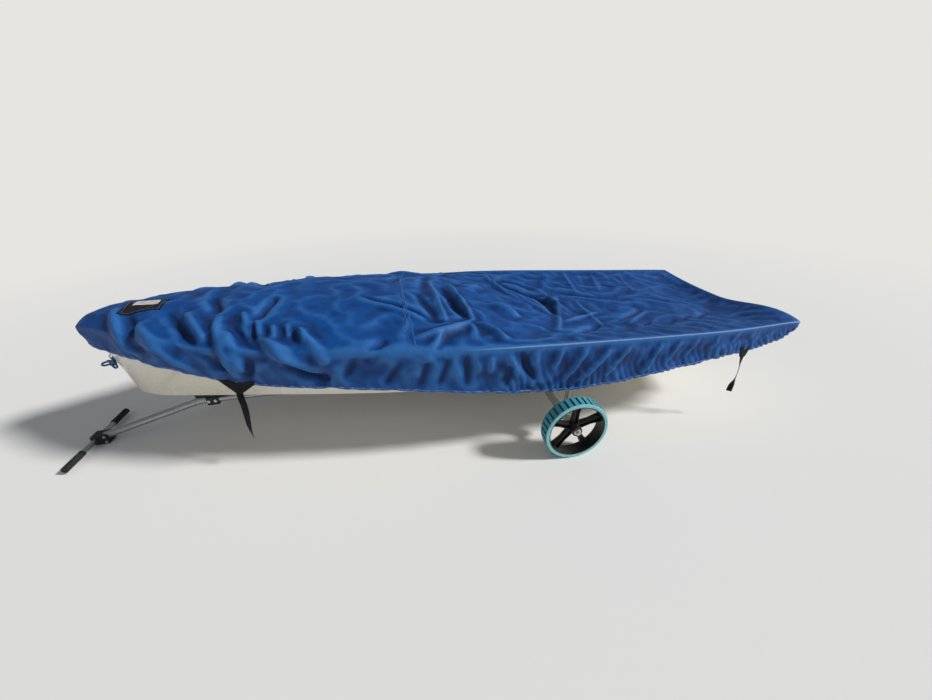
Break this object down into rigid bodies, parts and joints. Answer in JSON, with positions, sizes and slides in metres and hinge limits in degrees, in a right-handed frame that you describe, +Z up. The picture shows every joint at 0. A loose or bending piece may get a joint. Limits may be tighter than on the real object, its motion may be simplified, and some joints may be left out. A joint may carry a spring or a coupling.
{
  "type": "covered sailing dinghy on a launching trolley",
  "caption": "Single-handed sailing dinghy under a fitted cloth boat cover, resting on a wheeled launching trolley with a drawbar and handle.",
  "frame": {"origin": "on the floor, below the middle of the whole length and width", "axes": "+X towards the bow, +Y to port, +Z up"},
  "size_m": [4.309, 1.58, 0.8803],
  "materials": {
    "gelcoat": "off-white polyester gelcoat on glassfibre, glossy and slightly chalked",
    "cover_cloth": "royal-blue coated polyester cloth, slightly shiny, wrinkled",
    "webbing": "black woven polyester webbing",
    "rope": "braided blue polyester rope",
    "black_plastic": "moulded black nylon",
    "black_rubber": "moulded black rubber",
    "tyre_teal": "teal closed-cell foam tyre with moulded cross lugs",
    "stainless": "pressed and turned stainless steel",
    "aluminium_tube": "mill-finish aluminium tube, weathered",
    "cast_bracket": "black powder-coated cast aluminium"
  },
  "bodies": {
    "root": {"axle_clamp": "cast_bracket", "axle_tube": "aluminium_tube", "bow_chock": "black_rubber", "bow_eye": "stainless", "bow_post": "aluminium_tube", "buckle_aft": "black_plastic", "buckle_fore": "black_plastic", "cover": "cover_cloth", "drain_bung": "black_plastic", "drawbar": "aluminium_tube", "grip_port": "black_rubber", "grip_starboard": "black_rubber", "gudgeon_lower": "stainless", "gudgeon_upper": "stainless", "gunwale_pad_port": "black_rubber", "gunwale_pad_starboard": "black_rubber", "handle_bar": "aluminium_tube", "handle_socket": "cast_bracket", "hull": "gelcoat", "painter_knot": "rope", "pin_port": "stainless", "pin_starboard": "stainless", "post_clamp": "cast_bracket", "self_bailer": "stainless", "strap_aft": "webbing", "strap_fore": "webbing", "stub_port": "stainless", "stub_starboard": "stainless", "tab_aft_port": "webbing", "tab_aft_starboard": "webbing", "tab_fore_port": "webbing", "tab_fore_starboard": "webbing", "upright_clamp_port": "cast_bracket", "upright_clamp_starboard": "cast_bracket", "upright_port": "aluminium_tube", "upright_starboard": "aluminium_tube", "washer_port": "stainless", "washer_starboard": "stainless"},
    "wheel_port": {"rim_port": "black_plastic", "tyre_port": "tyre_teal"},
    "wheel_starboard": {"rim_starboard": "black_plastic", "tyre_starboard": "tyre_teal"}
  },
  "joints": [
    {"name": "wheel_port_spin", "type": "hinge", "parent": "root", "child": "wheel_port", "pos_m": [-0.6585, 0.735, 0.181], "axis": [0, 1, 0], "continuous": true},
    {"name": "wheel_starboard_spin", "type": "hinge", "parent": "root", "child": "wheel_starboard", "pos_m": [-0.6585, -0.735, 0.181], "axis": [0, 1, 0], "continuous": true}
  ]
}
